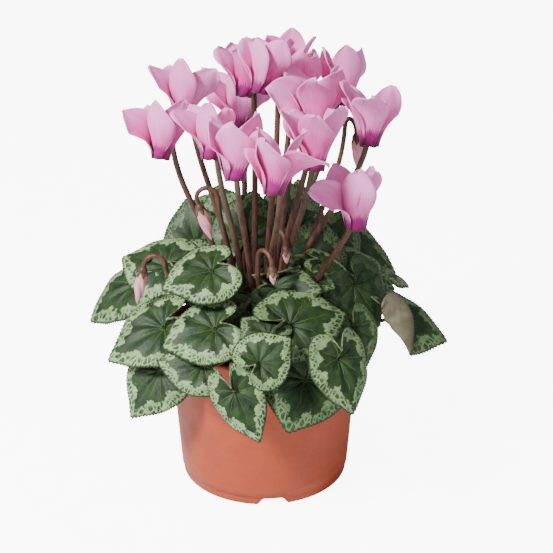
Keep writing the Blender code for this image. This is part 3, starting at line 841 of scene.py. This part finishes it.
def build_pot():
    """The turned wall, with the drainage notches lifted into its foot."""
    bm = bmesh.new()
    outline = pot_outline()
    turned(bm, outline + outline[:1], POT_STEPS)
    for vert in bm.verts:
        vert.co.z = max(vert.co.z, notch_lift(vert.co))
    pot = finish_mesh(bm, "pot_body", POT_PLASTIC)
    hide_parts("pot")
    return pot


def add_crumbs(bm, reach):
    """Loose crumbs of peat, spread evenly between the tuber and the wall."""
    crumbs = random.Random(7)
    for _ in range(CRUMBS):
        angle = crumbs.uniform(0, math.tau)
        radius = math.sqrt(crumbs.uniform(*CRUMB_RING)) * reach
        size = crumbs.uniform(*CRUMB_SIZES) * MM
        made = bmesh.ops.create_icosphere(bm, subdivisions=1, radius=size)
        spot = Vector((radius * math.cos(angle), radius * math.sin(angle), SOIL_TOP + CRUMB_LIFT))
        flat = crumbs.uniform(*CRUMB_FLATNESS)
        for vert in made["verts"]:
            vert.co *= crumbs.uniform(*CRUMB_RAGGEDNESS)
            vert.co.z *= flat
            vert.co += spot


def build_soil():
    """A crumbly mound round the tuber, with sides that follow the pot's wall."""
    bm = bmesh.new()
    low = FOOT_HEIGHT + POT_WALL + SOIL_GAP
    reach = wall_radius(SOIL_TOP) - POT_WALL - SOIL_GAP

    def place(vert, u, v):
        angle = math.tau * u
        radius = SOIL_HOLE + (reach - SOIL_HOLE) * v
        rise = SOIL_TOP + SOIL_MOUND * (1 - v) ** 1.5
        spot = Vector((radius * math.cos(angle), radius * math.sin(angle), 0))
        lump = sum(noise.noise(spot * grain) * height for grain, height in SOIL_LUMPS)
        vert.co = spot + UP * (rise + lump * math.sin(math.pi * min(1, v * 1.2 + 0.1)))

    grid_sheet(bm, SOIL_COLUMNS, SOIL_ROWS, place)
    weld(bm)
    middle = (SOIL_HOLE + reach) / 2
    outer = [edge for edge in bm.edges if edge.is_boundary and edge.verts[0].co.xy.length > middle]
    shrink = (wall_radius(low) - POT_WALL - SOIL_GAP) / reach
    for part in bmesh.ops.extrude_edge_only(bm, edges=outer)["geom"]:
        if isinstance(part, bmesh.types.BMVert):
            part.co = Vector((part.co.x * shrink, part.co.y * shrink, low))
    close_holes(bm, bm.edges, SOIL_COLUMNS)
    add_crumbs(bm, reach)
    face_outwards(bm)
    soil = finish_mesh(bm, "soil_surface", SOIL)
    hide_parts("soil")
    return soil


def build_tuber():
    """A corky, flattened tuber with an uneven skin."""
    bm = bmesh.new()
    turned(bm, [(radius * MM, height * MM) for radius, height in TUBER_OUTLINE], TUBER_STEPS)
    bmesh.ops.subdivide_edges(bm, edges=bm.edges, cuts=1, use_grid_fill=True)
    for vert in bm.verts:
        spot = vert.co * CORK_GRAIN
        inward = noise.noise(spot) * 0.9 + abs(noise.noise(spot * 3.1)) * 0.8
        vert.co -= vert.co.normalized() * abs(inward) * MM
    face_outwards(bm)
    tuber = finish_mesh(bm, "tuber_cork", BARK)
    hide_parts("tuber")
    return tuber


# -------- leaves

def leaf_frame(stalk_end, tip, face):
    """Where a leaf's stalk ends, the way to its tip, and its side and face directions."""
    start = Vector(stalk_end) * MM
    forward = Vector(tip) * MM - start
    normal = compass(*face)
    side = normal.cross(forward).normalized()
    normal = forward.cross(side).normalized()
    return start, forward, side, normal


def turn_over(x, y, fold, length):
    """Turns the part beyond a crease over the rest: place in the plane and height."""
    angle, offset, turn = fold
    side = -1 if angle < 0 else 1
    ahead = Vector((math.cos(math.radians(angle)), math.sin(math.radians(angle))))
    out = Vector((-ahead.y, ahead.x)) * side
    spot = Vector((x, y))
    beyond = spot.dot(out) - offset * length
    if beyond <= 0:
        return x, y, 0
    full = math.radians(turn)
    arc = min(full, beyond / FOLD_RADIUS)
    straight = max(0, beyond - full * FOLD_RADIUS)
    reach = FOLD_RADIUS * math.sin(arc) + straight * math.cos(full)
    rise = FOLD_RADIUS * (1 - math.cos(arc)) + straight * math.sin(full)
    spot += out * (reach - beyond)
    return spot.x, spot.y, rise


def blade_point(theta, share, tooth, length, row, phase, fold):
    """A point of the blade in its own frame: +X to the tip, +Z the face."""
    width, along, across, wave = row[3:7]
    reach = length * share * between(LEAF_OUTLINE, abs(math.degrees(theta))) * (1 + tooth * share ** 8)
    flat = Vector((math.cos(theta), math.sin(theta) * width, 0)) * reach
    veins = math.cos(theta * VEINS)
    quilt = -QUILT_DEPTH * length * veins * math.sin(math.pi * min(1, share * 1.05))
    waves = math.sin(3 * theta + phase) + 0.6 * math.sin(7 * theta + 2.3 * phase)
    ripple = 0.6 * wave * length * share ** 3 * waves
    funnel = FUNNEL_DEPTH * length * math.exp(-share * 4)
    lobes = LOBE_RISE * length * share * max(0, -math.cos(theta)) ** 3
    rolled = MARGIN_ROLL * length * share ** 7
    x, y, rise = turn_over(flat.x, flat.y, fold, length) if fold else (flat.x, flat.y, 0)
    x, drop_x = bend(x, along, length)
    y, drop_y = bend(y, across, length)
    return flat, Vector((x, y, rise + quilt + ripple + lobes - funnel - rolled - drop_x - drop_y))


def inside_box(point):
    """Keeps a leaf or petal edge inside the CAD model's own box."""
    low, high = cad_box
    return Vector([min(max(point[i], low[i] + EDGE_ROOM), high[i] - EDGE_ROOM) for i in range(3)])


def build_blade(name, row, seed):
    start, forward, side, normal = leaf_frame(*row[:3])
    length = forward.length
    forward = forward.normalized()
    fold = FOLDS.get(name)
    silver = SILVER.get(name, SILVER_USUAL)
    phase = seed * GOLDEN * math.tau
    bm = bmesh.new()
    blade_layer = bm.verts.layers.float_vector.new("blade")
    share_layer = bm.verts.layers.float.new("share")
    silver_layer = bm.verts.layers.float.new("silver")

    def place(vert, u, v):
        theta = math.radians(LOBE_ANGLE) * (2 * u - 1)
        tooth = TOOTH * (1 if round(u * BLADE_COLUMNS) % 2 else -1)
        share = v ** 0.8
        flat, local = blade_point(theta, share, tooth, length, row, phase, fold)
        vert[blade_layer] = Vector((flat.x / length, flat.y / length, seed * 3.7))
        vert[share_layer] = share
        vert[silver_layer] = silver
        vert.co = inside_box(start + forward * local.x + side * local.y + normal * local.z)

    grid_sheet(bm, BLADE_COLUMNS, BLADE_ROWS, place)
    weld(bm)
    face_outwards(bm)
    heading = sum((face.normal * face.calc_area() for face in bm.faces), Vector())
    if heading.dot(normal) < 0:
        bmesh.ops.reverse_faces(bm, faces=bm.faces)
    blade = finish_mesh(bm, name + "_blade", LEAF_FACE, LEAF_UNDER)
    wall = thicken(blade, BLADE_THICKNESS, -1)
    wall.material_offset = 1
    wall.material_offset_rim = 0
    return blade


def leaf_stalk_points(row):
    """From the tuber's crown up, then out under the blade."""
    start, forward, _, normal = leaf_frame(*row[:3])
    radius = min(LEAF_RING - (start.z - CROWN_TOP) * LEAF_RING_SLOPE, LEAF_RING)
    root = compass(row[-1], 0) * radius + UP * (CROWN_TOP - ROOT_DEPTH)
    ahead, below = HANGING_ARRIVAL if start.z < HANGING_HEIGHT else ARRIVAL
    arrive = (forward.normalized() * ahead + normal * below).normalized()
    end = start - normal * forward.length * LEAF_JOINT_DEPTH
    span = (end - root).length
    foot = root + UP * STALK_FOOT
    above = foot + UP * (span * LEAF_STALK_RISE + max(0, HANGING_HEIGHT - start.z))
    before = end - arrive * span * LEAF_STALK_BOW
    steps = [i / LEAF_STALK_STEPS for i in range(LEAF_STALK_STEPS + 1)]
    return [root] + [cubic(foot, above, before, end, t) for t in steps]


def build_leaf_stalk(name, row):
    points = leaf_stalk_points(row)
    bm = bmesh.new()
    tube(bm, points, tapered(*LEAF_STALK_RADII, len(points)), 12)
    face_outwards(bm)
    stalk = finish_mesh(bm, name + "_stalk", LEAF_STALK)
    return stalk


# -------- flowers

def flower_frame(mouth, lean):
    """A nodding flower's mouth, and its front, right and up directions."""
    azimuth, tilt = lean
    up = -compass(azimuth, tilt - 90)
    front = compass(azimuth, tilt)
    return Vector(mouth) * MM, (front, up.cross(front), up)


def petal_spine(flare, length):
    """Points out and up from the mouth's lip along a curving petal, with its slope."""
    out = 0
    rise = 0
    made = [(0.0, 0.0, math.radians(PETAL_START_ANGLE))]
    for i in range(PETAL_ROWS):
        t = (i + 0.5) / PETAL_ROWS
        angle = math.radians(PETAL_START_ANGLE + (flare - PETAL_START_ANGLE) * min(1, t * 1.25) ** 1.3)
        out += math.sin(angle) * length / PETAL_ROWS
        rise += math.cos(angle) * length / PETAL_ROWS
        made.append((out, rise, angle))
    return made


def petal_point(index, across, row, spine, size, phase, twist_end):
    """A point of the corolla: the throat's rows come first, then the free petal."""
    if row < TUBE_ROWS:
        radius, height = THROAT[row]
        angle = math.radians(72 * (index + across / 2))
        scallop = LIP_SCALLOP * across * across if row == TUBE_ROWS - 1 else 0
        return Vector((radius * math.cos(angle), radius * math.sin(angle), height + scallop)) * MM * size
    share = (row - TUBE_ROWS) / PETAL_ROWS
    out, rise, slope = spine[row - TUBE_ROWS]
    out += MOUTH_RADIUS * size
    half = between(PETAL_WIDTHS, share) * MM * size
    wrap = (1 - share) ** 1.5 * 0.9 + 0.1
    lateral, inward = bend(half * across, 180 * wrap, math.pi * out)
    twist = math.radians(6 + twist_end * min(1, share * 1.7) ** 1.4)
    azimuth = math.radians(72 * index + PETAL_SHIFTS[index] * min(1, share * 3))
    radial = Vector((math.cos(azimuth), math.sin(azimuth), 0))
    tangent = Vector((-math.sin(azimuth), math.cos(azimuth), 0))
    normal = radial * math.cos(slope) - UP * math.sin(slope)
    sideways = tangent * math.cos(twist) + normal * math.sin(twist)
    inwards = normal * math.cos(twist) - tangent * math.sin(twist)
    ripple = PETAL_RIPPLE * math.sin(share * 7.5 + phase + 2 * across) * across * across * share
    usual_cup, cup_spread = PETAL_CUP
    depth = (usual_cup + cup_spread * math.cos(phase * 3)) * MM
    cup = math.sin(share * math.pi) * depth * across * across
    scallop = PETAL_SCALLOP * across * across * (1 - share) ** 12
    return (radial * out + UP * (rise + PETAL_LIFT + scallop) + sideways * lateral
            - inwards * (inward - ripple + cup))


def side_twist(index, flare, phase):
    """Side petals turn their inner face forwards, the more the wider they flare."""
    if index == 0:
        return FRONT_TWIST + 6 * math.sin(phase)
    return SIDE_TWIST + TWIST_PER_FLARE * flare + 8 * math.sin(phase)


def build_corolla(name, row, seed):
    mouth, _, lean, size, flares = row
    origin, (front, right, up) = flower_frame(mouth, lean)
    rows = TUBE_ROWS + PETAL_ROWS
    bm = bmesh.new()
    layer = bm.verts.layers.float_vector.new("petal")
    for index, flare in enumerate(flares):
        phase = (seed * 5 + index) * GOLDEN * math.tau
        length = PETAL_LENGTH * size * (1 + LENGTH_SPREAD * math.sin(phase * 2))
        spine = petal_spine(flare + FLARE_SPREAD * math.cos(phase), length)
        twist_end = TWISTS[name][index] if name in TWISTS else side_twist(index, flare, phase)

        def place(vert, u, v):
            across = 2 * u - 1
            line = round(v * rows)
            local = petal_point(index, across, line, spine, size, phase, twist_end)
            vert[layer] = Vector((across, (line - TUBE_ROWS) / PETAL_ROWS, seed * 5 + index))
            vert.co = inside_box(origin + front * local.x + right * local.y + up * local.z)

        grid_sheet(bm, PETAL_COLUMNS, rows, place)
    weld(bm)
    face_outwards(bm)
    corolla = finish_mesh(bm, name + "_corolla", PETAL)
    thicken(corolla, PETAL_THICKNESS, 0)
    return corolla


def stalk_path(calyx, axes, tilt, root_place):
    """Points from the root round the hook to the calyx."""
    front, _, up = axes
    root = Vector((root_place[0] * MM, root_place[1] * MM, CROWN_TOP - ROOT_DEPTH))
    top = calyx + up * HOOK_START
    turn = math.radians(HOOK_TURN - tilt)
    hook = []
    for i in range(HOOK_STEPS + 1):
        angle = turn * i / HOOK_STEPS
        hook.append(top + up * HOOK_RADIUS * math.sin(angle) - front * HOOK_RADIUS * (1 - math.cos(angle)))
    heading = up * math.cos(turn) - front * math.sin(turn)
    end = hook[-1]
    span = (end - root).length
    start = root + UP * STALK_FOOT
    above = start + UP * span * STALK_RISE
    below = end + heading * span * STALK_BOW
    rise = [cubic(start, above, below, end, i / STALK_STEPS) for i in range(STALK_STEPS)]
    return [root] + rise + hook[::-1] + [calyx + up * HOOK_END]


def build_hooked_stalk(name, points, radii, dome, sides):
    """A stalk with the swelling at its end; sides says how many each has round it."""
    bm = bmesh.new()
    tube(bm, points, radii, sides[0])
    tube(bm, dome[0], dome[1], sides[1])
    face_outwards(bm)
    stalk = finish_mesh(bm, name + "_hooked_stalk", FLOWER_STALK)
    return stalk


def build_sepals(name, calyx, axes, size, spread):
    """Five pointed sepals lying on the throat."""
    front, right, up = axes
    first, growth = SEPAL_RADII
    bm = bmesh.new()
    for i in range(5):
        angle = math.radians(72 * i + 36)
        out = front * math.cos(angle) + right * math.sin(angle)
        side = up.cross(out)

        def place(vert, u, v):
            across = 2 * u - 1
            half = SEPAL_WIDTH * size * math.sin(math.pi * min(1, 0.25 + v * 0.75)) ** 0.8
            radius = (first + growth * math.sin(v * 1.5)) * MM * size + spread * v * MM
            hollow = SEPAL_HOLLOW * across * across
            drop = SEPAL_LENGTH * size * v - SEPAL_RISE
            vert.co = calyx + out * (radius - hollow) + side * half * across - up * drop

        grid_sheet(bm, 4, 6, place)
    face_outwards(bm)
    sepals = finish_mesh(bm, name + "_sepals", LEAF_STALK)
    thicken(sepals, SEPAL_THICKNESS, 0)
    return sepals


def dome_rings(table, calyx, up, size):
    return [calyx + up * height * MM for height, _ in table], [radius * MM * size for _, radius in table]


def build_flower_stalk(name, row):
    mouth, root_place, lean, size, _ = row
    origin, axes = flower_frame(mouth, lean)
    calyx = origin + axes[2] * CALYX_HEIGHT * size
    points = stalk_path(calyx, axes, lean[1], root_place)
    radii = tapered(*STALK_RADII, len(points))
    dome = dome_rings(FLOWER_DOME, calyx, axes[2], size)
    stalk = build_hooked_stalk(name, points, radii, dome, (14, 20))
    return stalk, build_sepals(name, calyx, axes, size, SEPAL_SPREAD)


def build_bud_petals(name, calyx, axes, seed, size):
    """Five petals rolled into a point, hanging from the calyx."""
    front, right, up = axes
    girth = min(1, size * YOUNG_GIRTH)
    bm = bmesh.new()
    layer = bm.verts.layers.float_vector.new("petal")

    def place(vert, u, v):
        swirl = math.tau * u + v * BUD_SWIRL
        folds = 1 + BUD_FOLDS * math.cos(5 * math.tau * u) * math.sin(math.pi * v)
        radius = between(BUD_OUTLINE, v) * MM * folds * girth
        vert[layer] = Vector((2 * u - 1, v, seed))
        out = front * math.cos(swirl) + right * math.sin(swirl)
        vert.co = calyx - up * BUD_LENGTH * size * v + out * radius

    grid_sheet(bm, BUD_COLUMNS, BUD_ROWS, place)
    weld(bm)
    close_holes(bm, bm.edges, BUD_COLUMNS)
    face_outwards(bm)
    petals = finish_mesh(bm, name + "_petals", BUD_PETALS)
    return petals


def build_bud(name, row, seed, size=1.0):
    tip, root_place, lean = row
    origin, axes = flower_frame(tip, lean)
    calyx = origin + axes[2] * BUD_LENGTH * size
    points = stalk_path(calyx, axes, lean[1], root_place)
    radii = tapered(*BUD_STALK_RADII, len(points))
    stalk = build_hooked_stalk(name, points, radii, dome_rings(BUD_DOME, calyx, axes[2], 1), (12, 16))
    sepals = build_sepals(name, calyx, axes, *BUD_SEPALS)
    petals = build_bud_petals(name, calyx, axes, seed, size)
    if name in BUDS:
        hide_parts(name)
    return stalk, sepals, petals


# -------- put together

def build_plant():
    """All pieces, in the order of the tables, riding the plant's one body."""
    made = [build_pot(), build_soil(), build_tuber()]
    rows = list(LEAVES.items()) + list(INNER_LEAVES.items())
    for seed, (name, row) in enumerate(rows):
        blade = build_blade(name, row, seed)
        if name in LEAVES:
            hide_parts(name)
        made += [blade, build_leaf_stalk(name, row)]
    for seed, (name, row) in enumerate(FLOWERS.items()):
        corolla = build_corolla(name, row, seed)
        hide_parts(name + "_petals")
        stalk, sepals = build_flower_stalk(name, row)
        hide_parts(name + "_stalk")
        made += [corolla, stalk, sepals]
    for seed, (name, row) in enumerate(BUDS.items()):
        made += build_bud(name, row, seed)
    for seed, (name, row) in enumerate(YOUNG_BUDS.items()):
        made += build_bud(name, row, seed + len(BUDS), YOUNG_SIZE)
    for piece in made:
        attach(piece, "root")


def build_floor():
    bm = bmesh.new()
    bmesh.ops.create_grid(bm, x_segments=1, y_segments=1, size=FLOOR_SIZE)
    for vert in bm.verts:
        vert.co.z = -FLOOR_DROP
    floor = finish_mesh(bm, "floor", floor_material())


def light_studio():
    """An even white surround, a key light at the left and a weak fill at the right."""
    world = bpy.data.worlds.new("studio")
    bpy.context.scene.world = world
    world.use_nodes = True
    back = world.node_tree.nodes["Background"]
    back.inputs["Color"].default_value = (1, 1, 1, 1)
    back.inputs["Strength"].default_value = SKY_STRENGTH
    for name, (place, size, power) in LIGHTS.items():
        lamp = bpy.data.lights.new(name, "AREA")
        lamp.energy = power
        lamp.size = size
        item = new_object(name, lamp)
        item.location = place
        aim = Vector(LIGHT_TARGET) - Vector(place)
        item.rotation_euler = aim.to_track_quat("-Z", "Y").to_euler()


def add_camera():
    lens = bpy.data.cameras.new("camera")
    lens.lens = LENS
    lens.sensor_width = SENSOR
    item = new_object("camera", lens)
    item.location = CAMERA_PLACE
    item.rotation_euler = (math.radians(CAMERA_TILT), 0, 0)
    bpy.context.scene.camera = item


build_plant()
build_floor()
light_studio()
add_camera()
